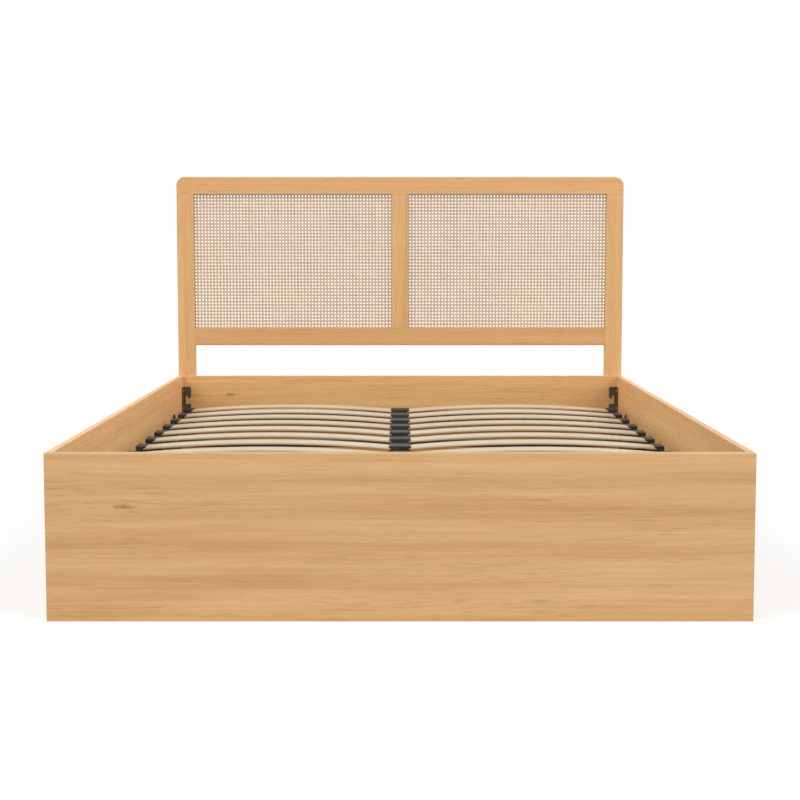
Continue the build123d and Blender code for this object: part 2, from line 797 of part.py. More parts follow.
# Mattress bar welded on the foot tube, and the webbing loop that the hand pulls
bar_y = platform_foot + bar_side / 2
bar_top = tube_top + bar_rise
with BuildPart() as mattress_bar:
    with BuildLine(Plane.XZ.offset(-bar_y)):
        FilletPolyline((-bar_span / 2, tube_top), (-bar_span / 2, bar_top),
                       (bar_span / 2, bar_top), (bar_span / 2, tube_top), radius=bar_bend)
    with BuildSketch(Plane.XY.offset(tube_top)):
        with Locations((-bar_span / 2, bar_y)):
            Rectangle(bar_side, bar_side)
    sweep()
save(mattress_bar, "mattress_bar")
strap_inner = bar_side + 2 * strap_clearance
with BuildPart() as pull_strap:
    with BuildSketch(Plane.YZ):
        with Locations((bar_y, bar_top + strap_inner / 2 - strap_length / 2)):
            Rectangle(strap_inner + 2 * strap_thickness, strap_length + 2 * strap_thickness)
            Rectangle(strap_inner, strap_length, mode=Mode.SUBTRACT)
    extrude(amount=strap_width / 2, both=True)
save(pull_strap, "pull_strap")

# Storage floor: battens along the panels and the middle, and two boards on them
board_length = well_length - 2 * floor_gap
side_batten_x = side_inner - batten_width / 2
with BuildPart() as floor_battens:
    with BuildSketch():
        with Locations((side_batten_x, well_middle), (-side_batten_x, well_middle)):
            Rectangle(batten_width, board_length)
        with Locations((0, well_middle)):
            Rectangle(centre_batten_width, board_length)
    extrude(amount=batten_height)
save(floor_battens, "floor_battens")
with BuildPart() as floor_board:
    with BuildSketch(Plane.XY.offset(batten_height)):
        with Locations((side_inner / 2, well_middle)):
            Rectangle(side_inner - 2 * floor_gap, board_length)
    extrude(amount=floor_board_thickness)
save_pair(floor_board, "floor_board")

print("strut rest length", round(strut_length, 2), "stroke", round(strut_stroke, 2))
print("pivot", pivot, "strut foot", strut_foot, "strut head", strut_head)
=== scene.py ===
import json
import math

import bpy
from mathutils import Euler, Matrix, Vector

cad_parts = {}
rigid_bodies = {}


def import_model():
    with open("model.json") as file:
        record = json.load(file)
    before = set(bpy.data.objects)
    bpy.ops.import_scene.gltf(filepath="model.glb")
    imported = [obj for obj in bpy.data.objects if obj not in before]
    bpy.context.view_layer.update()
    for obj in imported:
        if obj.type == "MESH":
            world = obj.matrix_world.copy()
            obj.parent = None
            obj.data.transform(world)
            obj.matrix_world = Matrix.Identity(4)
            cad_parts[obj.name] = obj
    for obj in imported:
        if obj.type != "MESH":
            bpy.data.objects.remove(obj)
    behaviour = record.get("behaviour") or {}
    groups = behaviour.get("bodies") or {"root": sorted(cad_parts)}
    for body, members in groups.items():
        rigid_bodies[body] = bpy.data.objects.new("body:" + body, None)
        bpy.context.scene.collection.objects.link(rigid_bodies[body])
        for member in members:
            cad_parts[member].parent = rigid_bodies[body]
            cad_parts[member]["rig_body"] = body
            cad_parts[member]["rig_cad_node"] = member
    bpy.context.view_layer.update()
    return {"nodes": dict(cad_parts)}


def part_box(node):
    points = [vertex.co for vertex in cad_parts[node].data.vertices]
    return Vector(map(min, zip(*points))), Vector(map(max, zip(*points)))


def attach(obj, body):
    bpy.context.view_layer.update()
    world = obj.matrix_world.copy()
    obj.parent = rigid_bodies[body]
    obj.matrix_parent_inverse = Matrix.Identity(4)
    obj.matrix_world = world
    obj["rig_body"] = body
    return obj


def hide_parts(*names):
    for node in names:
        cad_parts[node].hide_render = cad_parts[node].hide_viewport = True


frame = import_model()

# ---------------------------------------------------------------------------------------------
# Studio
# The bed stands alone on a plain white floor, photographed from its foot at sitting height
# under broad, shadowless light.
# ---------------------------------------------------------------------------------------------

def clear_picks():
    if bpy.context.object and bpy.context.object.mode != "OBJECT":
        bpy.ops.object.mode_set(mode="OBJECT")
    bpy.ops.object.select_all(action="DESELECT")


def pick(piece):
    clear_picks()
    piece.select_set(True)
    bpy.context.view_layer.objects.active = piece


def colour(red, green, blue):
    # a colour as it is seen on a screen, 0 to 255, turned into the shader's scale
    shares = [part / 255 for part in (red, green, blue)]
    return [s / 12.92 if s <= 0.04045 else ((s + 0.055) / 1.055) ** 2.4 for s in shares] + [1]


def add_node(tree, kind, inputs=None, **settings):
    node = tree.nodes.new(kind)
    for key, value in settings.items():
        setattr(node, key, value)
    for socket, value in (inputs or {}).items():
        if isinstance(value, bpy.types.NodeSocket):
            tree.links.new(value, node.inputs[socket])
        else:
            node.inputs[socket].default_value = value
    return node


def new_material(name):
    material = bpy.data.materials.new(name)
    material.use_nodes = True
    material.node_tree.nodes.clear()
    return material, material.node_tree


def to_the_eye(tree):
    # 1 for what the camera sees, straight or by gloss or glass, and 0 for the light that it casts
    path = add_node(tree, "ShaderNodeLightPath").outputs
    straight_or_gloss = add_node(tree, "ShaderNodeMath", {
        0: path["Is Camera Ray"], 1: path["Is Glossy Ray"]}, operation="MAXIMUM")
    return add_node(tree, "ShaderNodeMath", {
        0: straight_or_gloss.outputs[0], 1: path["Is Transmission Ray"]},
        operation="MAXIMUM").outputs[0]


scene = bpy.context.scene
scene.view_settings.view_transform = "Standard"

camera_data = bpy.data.cameras.new("studio_camera")
camera_data.lens = 73.9
camera_data.sensor_width = 36
camera = bpy.data.objects.new("studio_camera", camera_data)
camera.location = (0, -4.382, 0.767)
camera.rotation_euler = (math.radians(84.73), 0, 0)
scene.collection.objects.link(camera)
scene.camera = camera

# White surroundings: pure white to the eye and in reflections, a plainer level as light
surroundings = bpy.data.worlds.new("white_surroundings")
surroundings.use_nodes = True
sky = surroundings.node_tree
sky.nodes.clear()
sky_strength = add_node(sky, "ShaderNodeMapRange", {"Value": to_the_eye(sky),
                                                    "To Min": 0.55, "To Max": 1.0})
sky_white = add_node(sky, "ShaderNodeBackground", {"Color": (1, 1, 1, 1),
                                                   "Strength": sky_strength.outputs["Result"]})
add_node(sky, "ShaderNodeOutputWorld", {"Surface": sky_white.outputs[0]})
scene.world = surroundings

# Two very soft keys from the left and the right of the foot, as even as daylight
for name, side_turn, height_turn, power in (("left_key", -52, 40, 1.62),
                                            ("right_key", 55, 37, 1.5)):
    lamp = bpy.data.lights.new(name, "SUN")
    lamp.energy = power
    lamp.angle = math.radians(34)
    lamp_object = bpy.data.objects.new(name, lamp)
    turn, rise = math.radians(side_turn), math.radians(height_turn)
    away = Vector((math.sin(turn) * math.cos(rise), -math.cos(turn) * math.cos(rise),
                   math.sin(rise)))
    lamp_object.location = away * 6
    lamp_object.rotation_euler = away.to_track_quat("Z", "Y").to_euler()
    scene.collection.objects.link(lamp_object)

clear_picks()
bpy.ops.mesh.primitive_plane_add(size=60, location=(0, 0, 0))
studio_floor = bpy.context.object
studio_floor.name = "studio_floor"
floor_paint, tree = new_material("floor_white")
plain = add_node(tree, "ShaderNodeBsdfDiffuse", {"Color": (0.55, 0.55, 0.55, 1)})
faint = add_node(tree, "ShaderNodeBsdfDiffuse", {"Color": (0.30, 0.30, 0.30, 1)})
glow = add_node(tree, "ShaderNodeEmission", {"Color": (1, 1, 1, 1), "Strength": 0.685})
lit = add_node(tree, "ShaderNodeAddShader", {0: faint.outputs[0], 1: glow.outputs[0]})
both = add_node(tree, "ShaderNodeMixShader", {0: to_the_eye(tree), 1: plain.outputs[0],
                                              2: lit.outputs[0]})
add_node(tree, "ShaderNodeOutputMaterial", {"Surface": both.outputs[0]})
studio_floor.data.materials.append(floor_paint)

# ---------------------------------------------------------------------------------------------
# Box panels
# Four boards faced with pale oak: the thick foot panel runs across in front of the side panels,
# and the head panel stands between them. The arrises are just broken, and the grain runs along
# each board.
# ---------------------------------------------------------------------------------------------

def mixed(tree, share, first, second, blend="MIX"):
    node = add_node(tree, "ShaderNodeMix", {0: share, 6: first, 7: second},
                    data_type="RGBA", blend_type=blend)
    return node.outputs[2]


def sum_of(tree, first, second, operation="ADD"):
    return add_node(tree, "ShaderNodeMath", {0: first, 1: second}, operation=operation).outputs[0]


def reach(tree, value, low, high, start=0.0, end=1.0, smooth=False):
    kind = "SMOOTHSTEP" if smooth else "LINEAR"
    return add_node(tree, "ShaderNodeMapRange", {"Value": value, "From Min": low, "From Max": high,
                                                 "To Min": start, "To Max": end},
                    interpolation_type=kind).outputs["Result"]


def stretched(tree, vector, scale, place=(0, 0, 0), turn=(0, 0, 0)):
    return add_node(tree, "ShaderNodeMapping", {"Vector": vector, "Location": place,
                                                "Rotation": turn, "Scale": scale}).outputs[0]


def cloud(tree, vector, detail=2.0, rough=0.5, twist=0.0):
    return add_node(tree, "ShaderNodeTexNoise", {"Vector": vector, "Scale": 1.0, "Detail": detail,
                                                 "Roughness": rough, "Distortion": twist}
                    ).outputs["Fac"]


def new_effect(name, inputs):
    group = bpy.data.node_groups.new(name, "ShaderNodeTree")
    for label, kind, value in inputs:
        socket = group.interface.new_socket(name=label, in_out="INPUT", socket_type=kind)
        if value is not None:
            socket.default_value = value
    for label, kind in (("Color", "NodeSocketColor"), ("Roughness", "NodeSocketFloat"),
                        ("Height", "NodeSocketFloat")):
        group.interface.new_socket(name=label, in_out="OUTPUT", socket_type=kind)
    return group, add_node(group, "NodeGroupInput"), add_node(group, "NodeGroupOutput")


# A material whose colour, roughness and relief come from an effect laid over the piece
def surfaced(name, effect, values, relief, strength, turn=None, place=(0, 0, 0), **settings):
    material, tree = new_material(name)
    spot = add_node(tree, "ShaderNodeTexCoord").outputs["Object"]
    if turn is not None:
        spot = stretched(tree, spot, (1, 1, 1), place, turn)
    look = add_node(tree, "ShaderNodeGroup", node_tree=effect)
    tree.links.new(spot, look.inputs["Vector"])
    for label, value in values.items():
        look.inputs[label].default_value = value
    bump = add_node(tree, "ShaderNodeBump", {"Height": look.outputs["Height"],
                                             "Strength": strength, "Distance": relief})
    surface = add_node(tree, "ShaderNodeBsdfPrincipled", {
        "Base Color": look.outputs["Color"], "Normal": bump.outputs[0],
        "Roughness": look.outputs["Roughness"],
        **{label.replace("_", " "): value for label, value in settings.items()}})
    add_node(tree, "ShaderNodeOutputMaterial", {"Surface": surface.outputs[0]})
    return material


# Wood figure with the grain along X: broad bands, flat-sawn arches, fibres, pores and one knot
wood_figure, given, made = new_effect(
    "wood_figure",
    [("Vector", "NodeSocketVector", None), ("Pale", "NodeSocketColor", (0.7, 0.43, 0.2, 1)),
     ("Deep", "NodeSocketColor", (0.58, 0.32, 0.13, 1)), ("Knot", "NodeSocketVector", None),
     ("Knot size", "NodeSocketFloat", 1.0), ("Pores", "NodeSocketFloat", 1.0)])
away = add_node(wood_figure, "ShaderNodeVectorMath", {0: given.outputs["Vector"],
                                                      1: given.outputs["Knot"]},
                operation="SUBTRACT").outputs[0]
near = add_node(wood_figure, "ShaderNodeVectorMath",
                {0: stretched(wood_figure, away, (22, 60, 75))},
                operation="LENGTH").outputs["Value"]
near = sum_of(wood_figure, near, sum_of(wood_figure, cloud(wood_figure, stretched(
    wood_figure, given.outputs["Vector"], (60, 60, 150))), 0.7, "MULTIPLY"))
near = add_node(wood_figure, "ShaderNodeMath", {0: near, 1: given.outputs["Knot size"]},
                operation="DIVIDE").outputs[0]
knot = reach(wood_figure, near, 0.35, 1.25, 1.0, 0.0, smooth=True)
swell = reach(wood_figure, near, 0.0, 7.0, 1.0, 0.0, smooth=True)
above = add_node(wood_figure, "ShaderNodeSeparateXYZ", {0: away}).outputs["Z"]
side = reach(wood_figure, above, -0.02, 0.02, -0.011, 0.011)
lift = add_node(wood_figure, "ShaderNodeCombineXYZ", {"Z": sum_of(
    wood_figure, sum_of(wood_figure, swell, side, "MULTIPLY"), -1.0, "MULTIPLY")}).outputs[0]
flow = add_node(wood_figure, "ShaderNodeVectorMath", {0: given.outputs["Vector"], 1: lift},
                operation="ADD").outputs[0]
waver = cloud(wood_figure, stretched(wood_figure, flow, (1.6, 3, 5)), 3.0)
waver = add_node(wood_figure, "ShaderNodeCombineXYZ", {"Z": sum_of(
    wood_figure, waver, 0.022, "MULTIPLY")}).outputs[0]
flow = add_node(wood_figure, "ShaderNodeVectorMath", {0: flow, 1: waver},
                operation="ADD").outputs[0]
bands = cloud(wood_figure, stretched(wood_figure, flow, (0.5, 4, 22)), 3.0, 0.6)
bands = reach(wood_figure, bands, 0.33, 0.67)
arches = add_node(wood_figure, "ShaderNodeTexWave", {
    "Vector": stretched(wood_figure, flow, (1, 1, 1), (0, 0.02, 0.03),
                        (0, math.radians(0.5), math.radians(1.2))),
    "Scale": 30.0, "Distortion": 1.1, "Detail": 2.0, "Detail Scale": 0.8},
    wave_type="RINGS", rings_direction="X", wave_profile="SIN").outputs["Fac"]
calm = reach(wood_figure, cloud(wood_figure, stretched(wood_figure, flow, (0.9, 2, 3),
                                                       (4, 2, 7))), 0.42, 0.62)
arches = sum_of(wood_figure, arches, calm, "MULTIPLY")
fibres = cloud(wood_figure, stretched(wood_figure, flow, (6, 300, 400)), 2.0, 0.65)
streaks = cloud(wood_figure, stretched(wood_figure, flow, (3.4, 90, 135)), 3.0, 0.65)
pores = cloud(wood_figure, stretched(wood_figure, flow, (19, 400, 430)), 1.0)
pores = reach(wood_figure, pores, 0.56, 0.70)
patches = reach(wood_figure, cloud(wood_figure, stretched(wood_figure, flow, (3.2, 9, 22),
                                                          (1, 5, 3)), 2.0), 0.36, 0.62)
pores = sum_of(wood_figure, sum_of(wood_figure, pores, patches, "MULTIPLY"),
               given.outputs["Pores"], "MULTIPLY")
depth = sum_of(wood_figure, sum_of(wood_figure, bands, 0.34, "MULTIPLY"),
               sum_of(wood_figure, arches, 0.10, "MULTIPLY"))
depth = sum_of(wood_figure, depth, sum_of(wood_figure, fibres, 0.46, "MULTIPLY"))
depth = sum_of(wood_figure, depth, sum_of(wood_figure, streaks, 0.62, "MULTIPLY"))
depth = reach(wood_figure, depth, 0.44, 1.06)
wood_tone = mixed(wood_figure, depth, given.outputs["Pale"], given.outputs["Deep"])
wood_tone = mixed(wood_figure, sum_of(wood_figure, pores, 0.5, "MULTIPLY"), wood_tone,
                  (0.66, 0.60, 0.52, 1), "MULTIPLY")
wood_tone = mixed(wood_figure, sum_of(wood_figure, knot, 0.8, "MULTIPLY"), wood_tone,
                  (0.50, 0.40, 0.32, 1), "MULTIPLY")
wood_figure.links.new(wood_tone, made.inputs["Color"])
wood_figure.links.new(reach(wood_figure, fibres, 0.2, 0.8, 0.40, 0.52), made.inputs["Roughness"])
relief = sum_of(wood_figure, sum_of(wood_figure, fibres, 0.5, "MULTIPLY"), pores, "SUBTRACT")
wood_figure.links.new(relief, made.inputs["Height"])

ALONG_X = (0, 0, 0)
ALONG_Y = (0, 0, math.radians(-90))
ALONG_Z = (0, math.radians(90), 0)


def wood_finish(name, pale, deep, along, place=(0, 0, 0), knot=(9, 9, 9), knot_size=1.0,
                pores=1.0):
    # the knot is given where it sits on the bed; out at 9 m there is none
    values = {"Pale": pale, "Deep": deep, "Knot size": knot_size, "Pores": pores,
              "Knot": Euler(along).to_matrix() @ Vector(knot) + Vector(place)}
    return surfaced(name, wood_figure, values, 0.00006, 0.6, along, place,
                    Specular_IOR_Level=0.35)


def apply_modifier(piece, kind, **settings):
    pick(piece)
    modifier = piece.modifiers.new(kind.lower(), kind)
    for key, value in settings.items():
        setattr(modifier, key, value)
    bpy.ops.object.modifier_apply(modifier=modifier.name)


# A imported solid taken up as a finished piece: its facets joined and its arrises rounded
def finished(node, edge, segments=2, smooth=32):
    solid = frame["nodes"][node]
    body = solid["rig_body"]
    piece = solid.copy()
    piece.data = solid.data.copy()
    piece.name = "finished_" + node
    piece.parent = None
    del piece["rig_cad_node"]
    scene.collection.objects.link(piece)
    piece.data.materials.clear()
    pick(piece)
    bpy.ops.object.mode_set(mode="EDIT")
    bpy.ops.mesh.select_all(action="SELECT")
    bpy.ops.mesh.remove_doubles(threshold=0.00001)
    bpy.ops.mesh.dissolve_limited(angle_limit=math.radians(0.5))
    bpy.ops.object.mode_set(mode="OBJECT")
    bpy.ops.mesh.customdata_custom_splitnormals_clear()
    if edge:
        apply_modifier(piece, "BEVEL", width=edge, segments=segments, limit_method="ANGLE",
                       angle_limit=math.radians(28), use_clamp_overlap=True)
    pick(piece)
    bpy.ops.object.shade_smooth_by_angle(angle=math.radians(smooth))
    apply_modifier(piece, "WEIGHTED_NORMAL", keep_sharp=True)
    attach(piece, body)
    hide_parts(node)
    return piece


def dress(piece, material):
    piece.data.materials.clear()
    piece.data.materials.append(material)


oak_pale = colour(215, 173, 122)
oak_deep = colour(189, 142, 91)
foot_oak = wood_finish("oak_foot_panel", oak_pale, oak_deep, ALONG_X, (0, 0, 0),
                       (-0.571, -1.047, 0.241), 0.8)
# The head and side panels get paler oak than the foot panel: painted light that lifts their inner
# faces out of the box's shade, the left side lifted more than the right
head_oak_painted_lighter = wood_finish("oak_head_panel", colour(229, 184, 126), colour(201, 152, 96), ALONG_X,
                       (0.7, 0.4, 0.9), (-0.557, 1.001, 0.289), 0.75)
left_oak_painted_lighter = wood_finish("oak_left_side_painted_lighter", colour(246, 197, 138), colour(220, 167, 108), ALONG_Y,
                       (0.3, 0.2, 0.5))
right_oak_painted_lighter = wood_finish("oak_right_side_painted_lighter", colour(240, 192, 134), colour(213, 162, 104), ALONG_Y,
                        (1.9, 0.6, 1.3))
for node, oak in (("foot_panel", foot_oak), ("head_panel", head_oak_painted_lighter),
                  ("side_panel_left", left_oak_painted_lighter), ("side_panel_right", right_oak_painted_lighter)):
    dress(finished(node, 0.0006), oak)

# ---------------------------------------------------------------------------------------------
# Headboard frame
# Two posts, a top rail with rounded ends, a lower rail and a centre stile of solid oak, dowelled
# and glued flush. Each member has its own grain, so the joints show as fine lines.
# ---------------------------------------------------------------------------------------------

rail_pale = colour(230, 185, 129)
rail_deep = colour(206, 156, 99)
members = (
    ("headboard_top_rail", ALONG_X, (0.2, 1.1, 0.15)),
    ("headboard_lower_rail", ALONG_X, (1.6, 0.3, 0.62)),
    ("headboard_post_left", ALONG_Z, (0.4, 0.7, 2.1)),
    ("headboard_post_right", ALONG_Z, (2.4, 1.7, 0.3)),
    ("headboard_centre_stile", ALONG_Z, (3.1, 0.1, 1.2)))
for node, along, place in members:
    # The lower rail gets darker oak than the other members: painted shade
    lower_rail_in_painted_shade = node == "headboard_lower_rail"
    oak = wood_finish("oak_" + node, colour(223, 177, 122) if lower_rail_in_painted_shade else rail_pale,
                      colour(199, 149, 93) if lower_rail_in_painted_shade else rail_deep, along, place)
    dress(finished(node, 0.0007), oak)
bead_oak = wood_finish("oak_cane_beads", rail_pale, rail_deep, ALONG_X, (2.2, 0.9, 0.4))
dress(finished("cane_beads", 0.0012), bead_oak)

# ---------------------------------------------------------------------------------------------
# Cane webbing
# Split rattan strands woven in pairs up and across, with single strands on both diagonals, so
# that round holes are left. The sheet is glued in the rebate and held by the bead behind it.
# ---------------------------------------------------------------------------------------------

cane_pitch = 0.0106
pair_half = 0.00132
strand_width = 0.00188
diagonal_width = 0.0016
strand_thickness = 0.00055
pair_wave = 0.00030
diagonal_wave = 0.00052
pairs_across = 62
pairs_up = 42
sheet_low, sheet_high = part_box("cane_panel_right")
sheet_middle = (sheet_low + sheet_high) / 2


# A strand's crowned section, drawn once and pulled upwards through its bends
def strand(start, width, steps):
    clear_picks()
    bpy.ops.mesh.primitive_circle_add(vertices=3, radius=1, location=start,
                                      rotation=(0, 0, math.pi))
    made_strand = bpy.context.object
    made_strand.scale = (width / math.sqrt(3), strand_thickness / 1.5, 1)
    bpy.ops.object.transform_apply(location=True, rotation=True, scale=True)
    bpy.ops.object.mode_set(mode="EDIT")
    bpy.ops.mesh.select_mode(type="EDGE")
    bpy.ops.mesh.select_all(action="SELECT")
    for step in steps:
        bpy.ops.mesh.extrude_edges_move(TRANSFORM_OT_translate={"value": step})
    bpy.ops.object.mode_set(mode="OBJECT")
    return made_strand


def repeat(piece, count, step, merge=False):
    apply_modifier(piece, "ARRAY", count=count, use_relative_offset=False,
                   use_constant_offset=True, constant_offset_displace=step,
                   use_merge_vertices=merge, merge_threshold=0.00001)


def join(pieces, name):
    clear_picks()
    for piece in pieces:
        piece.select_set(True)
    bpy.context.view_layer.objects.active = pieces[0]
    if len(pieces) > 1:
        bpy.ops.object.join()
    pieces[0].name = name
    return pieces[0]


def close_ends(piece):
    pick(piece)
    bpy.ops.object.mode_set(mode="EDIT")
    bpy.ops.mesh.select_mode(type="EDGE")
    bpy.ops.mesh.select_all(action="SELECT")
    bpy.ops.mesh.fill_holes(sides=0)
    bpy.ops.mesh.select_all(action="SELECT")
    bpy.ops.mesh.normals_make_consistent(inside=False)
    bpy.ops.object.mode_set(mode="OBJECT")


def copy_of(piece, name):
    pick(piece)
    bpy.ops.object.duplicate(linked=False)
    twin = bpy.context.object
    twin.name = name
    return twin


def move(piece, step):
    pick(piece)
    bpy.ops.transform.translate(value=step)
    bpy.ops.object.transform_apply(location=True, rotation=True, scale=True)


# One crossing of an upright pair: each strand goes over one cross strand and under the other
half = cane_pitch / 2
pair = []
for side_sign in (-1, 1):
    over = side_sign * pair_wave
    steps = ((0, over, half - pair_half), (0, -2 * over, 2 * pair_half),
             (0, over, half - pair_half))
    pair.append(strand((side_sign * pair_half, 0, -half), strand_width, steps))
upright = join(pair, "cane_upright_pair")
across = copy_of(upright, "cane_cross_pair")
across.rotation_euler = (0, math.radians(-90), 0)
bpy.ops.object.transform_apply(location=True, rotation=True, scale=True)
repeat(upright, pairs_up, (0, 0, cane_pitch), merge=True)
repeat(upright, pairs_across, (cane_pitch, 0, 0))
repeat(across, pairs_across, (cane_pitch, 0, 0), merge=True)
repeat(across, pairs_up, (0, 0, cane_pitch))
for piece in (upright, across):
    move(piece, (-cane_pitch * (pairs_across - 1) / 2, 0, -cane_pitch * (pairs_up - 1) / 2))

# The diagonals cross halfway between the pairs and cut the corners of the square openings: one way
# passes before the upright pairs, the other way behind them
bend = cane_pitch / 6
diagonals = []
for way in (1, -1):
    level = diagonal_wave * way
    steps = ((way * bend, -2 * level, bend), (way * 2 * bend, 0, 2 * bend),
             (way * bend, 2 * level, bend), (way * 2 * bend, 0, 2 * bend))
    line = strand((-way * half + way * bend, level, bend), diagonal_width * math.sqrt(2), steps)
    repeat(line, pairs_up + 2, (way * cane_pitch, 0, cane_pitch), merge=True)
    repeat(line, pairs_across + pairs_up + 4, (way * cane_pitch, 0, 0))
    lean = cane_pitch * (pairs_up + 2) / 2
    spread = cane_pitch * (pairs_across + pairs_up + 3) / 2
    centred = cane_pitch * 0.5 * ((pairs_across + 1) % 2)
    move(line, (way * (-lean - spread + centred), 0,
                -cane_pitch * (pairs_up + 2) / 2))
    pick(line)
    bpy.ops.object.mode_set(mode="EDIT")
    edge_x = cane_pitch * pairs_across / 2
    edge_z = cane_pitch * pairs_up / 2
    for point, normal in (((edge_x, 0, 0), (1, 0, 0)), ((-edge_x, 0, 0), (-1, 0, 0)),
                          ((0, 0, edge_z), (0, 0, 1)), ((0, 0, -edge_z), (0, 0, -1))):
        bpy.ops.mesh.select_all(action="SELECT")
        bpy.ops.mesh.bisect(plane_co=point, plane_no=normal, clear_outer=True)
    bpy.ops.object.mode_set(mode="OBJECT")
    diagonals.append(line)
slanted = join(diagonals, "cane_diagonals")

# Straw colour with a slight change from strand to strand, and fibres along each strand
cane_fibre, given, made = new_effect(
    "cane_fibre", [("Vector", "NodeSocketVector", None)])
each = cloud(cane_fibre, stretched(cane_fibre, given.outputs["Vector"], (260, 1, 4)), 2.0, 0.6)
thread = cloud(cane_fibre, stretched(cane_fibre, given.outputs["Vector"], (3200, 900, 90)), 2.0)
joints = cloud(cane_fibre, stretched(cane_fibre, given.outputs["Vector"], (300, 300, 45)), 2.0)
straw = mixed(cane_fibre, reach(cane_fibre, each, 0.36, 0.64), colour(226, 194, 152),
              colour(190, 155, 116))
straw = mixed(cane_fibre, reach(cane_fibre, thread, 0.45, 0.75, 0.0, 0.4), straw,
              colour(160, 126, 92))
straw = mixed(cane_fibre, reach(cane_fibre, joints, 0.66, 0.74, 0.0, 0.5), straw,
              colour(122, 88, 60))
cane_fibre.links.new(straw, made.inputs["Color"])
cane_fibre.links.new(reach(cane_fibre, thread, 0.3, 0.7, 0.38, 0.55), made.inputs["Roughness"])
cane_fibre.links.new(thread, made.inputs["Height"])


def cane_finish(name, turn):
    return surfaced(name, cane_fibre, {}, 0.00004, 0.5, turn, Specular_IOR_Level=0.4)


cane_materials = {"upright": cane_finish("cane_upright", (0, 0, 0)),
                  "across": cane_finish("cane_across", (0, math.radians(90), 0)),
                  "slanted": cane_finish("cane_slanted", (0, math.radians(45), 0))}
for label, piece in (("upright", upright), ("across", across), ("slanted", slanted)):
    close_ends(piece)
    bpy.ops.object.shade_smooth_by_angle(angle=math.radians(50))
    twin = copy_of(piece, "cane_" + label + "_left")
    piece.name = "cane_" + label + "_right"
    move(piece, sheet_middle)
    move(twin, (-sheet_middle.x, sheet_middle.y, sheet_middle.z))
    for strands, hand in ((piece, "right"), (twin, "left")):
        dress(strands, cane_materials[label])
        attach(strands, "bed_frame")
        if label == "upright":
            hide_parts("cane_panel_" + hand)

# ---------------------------------------------------------------------------------------------
# Sprung slats
# Twenty-four slats of hot-pressed birch plies, bowed upwards, with rounded long edges and a
# satin lacquer. Each is pushed into a cap on the rail and one on the centre bar.
# ---------------------------------------------------------------------------------------------

slat_rows = 12
slats_low, slats_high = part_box("slats_right")
slat_start, slat_end = slats_low.x, slats_high.x
slat_foot = slats_low.z
slat_bow = 0.016
slat_thickness = slats_high.z - slats_low.z - slat_bow
slat_width = 0.063
row_pitch = (slats_high.y - slats_low.y - slat_width) / (slat_rows - 1)
half_span = (slat_end - slat_start) / 2
bow_radius = (half_span ** 2 + slat_bow ** 2) / (2 * slat_bow)


def bow_height(x):
    return math.sqrt(bow_radius ** 2 - (x - slat_start - half_span) ** 2) - (bow_radius - slat_bow)


# The end of the slat is drawn as a flat face and pulled along the bow
clear_picks()
bpy.ops.mesh.primitive_plane_add(
    size=1, location=(slat_start, slats_low.y + slat_width / 2, slat_foot + slat_thickness / 2),
    rotation=(0, math.radians(-90), 0))
slat = bpy.context.object
slat.scale = (slat_thickness, slat_width, 1)
bpy.ops.object.transform_apply(location=True, rotation=True, scale=True)
bpy.ops.object.mode_set(mode="EDIT")
bpy.ops.mesh.select_mode(type="FACE")
bpy.ops.mesh.select_all(action="SELECT")
bow_steps = 22
for i in range(bow_steps):
    x = slat_start + 2 * half_span * i / bow_steps
    far = slat_start + 2 * half_span * (i + 1) / bow_steps
    bpy.ops.mesh.extrude_region_move(TRANSFORM_OT_translate={
        "value": (far - x, 0, bow_height(far) - bow_height(x))})
bpy.ops.mesh.select_all(action="SELECT")
bpy.ops.mesh.normals_make_consistent(inside=False)
bpy.ops.object.mode_set(mode="OBJECT")
apply_modifier(slat, "BEVEL", width=0.0031, segments=4, limit_method="ANGLE",
               angle_limit=math.radians(40))
bpy.ops.object.shade_smooth_by_angle(angle=math.radians(40))
repeat(slat, slat_rows, (0, row_pitch, 0))


def mirror_twin(piece, name):
    twin = copy_of(piece, name)
    bpy.ops.object.mode_set(mode="OBJECT")
    twin.scale = (-1, 1, 1)
    bpy.ops.object.transform_apply(location=True, rotation=True, scale=True)
    bpy.ops.object.mode_set(mode="EDIT")
    bpy.ops.mesh.select_all(action="SELECT")
    bpy.ops.mesh.normals_make_consistent(inside=False)
    bpy.ops.object.mode_set(mode="OBJECT")
    return twin


# Birch: faint figure on the faces, and the plies as lines on the edges that follow the bow
birch, tree = new_material("birch_plies")
coords = add_node(tree, "ShaderNodeTexCoord")
grain = stretched(tree, coords.outputs["Object"], (1, 1, 1), (0.3, 0.2, 0.4))
wood = add_node(tree, "ShaderNodeGroup", node_tree=wood_figure)
tree.links.new(grain, wood.inputs["Vector"])
wood.inputs["Pale"].default_value = colour(217, 202, 178)
wood.inputs["Deep"].default_value = colour(199, 181, 154)
wood.inputs["Knot"].default_value = (9, 9, 9)
wood.inputs["Pores"].default_value = 0.35
parts = add_node(tree, "ShaderNodeSeparateXYZ", {0: coords.outputs["Object"]})
from_middle = sum_of(tree, add_node(tree, "ShaderNodeMath", {0: parts.outputs["X"]},
                                    operation="ABSOLUTE").outputs[0],
                     slat_start + half_span, "SUBTRACT")
squared = sum_of(tree, from_middle, from_middle, "MULTIPLY")
rise = add_node(tree, "ShaderNodeMath", {0: sum_of(tree, bow_radius ** 2, squared, "SUBTRACT"),
                                         1: 0.5}, operation="POWER").outputs[0]
flat_height = sum_of(tree, parts.outputs["Z"], sum_of(
    tree, rise, bow_radius - slat_bow, "SUBTRACT"), "SUBTRACT")
ply_share = sum_of(tree, sum_of(tree, flat_height, slat_foot, "SUBTRACT"),
                   slat_thickness / 6, "DIVIDE")
ply_line = sum_of(tree, ply_share, 1.0, "PINGPONG")
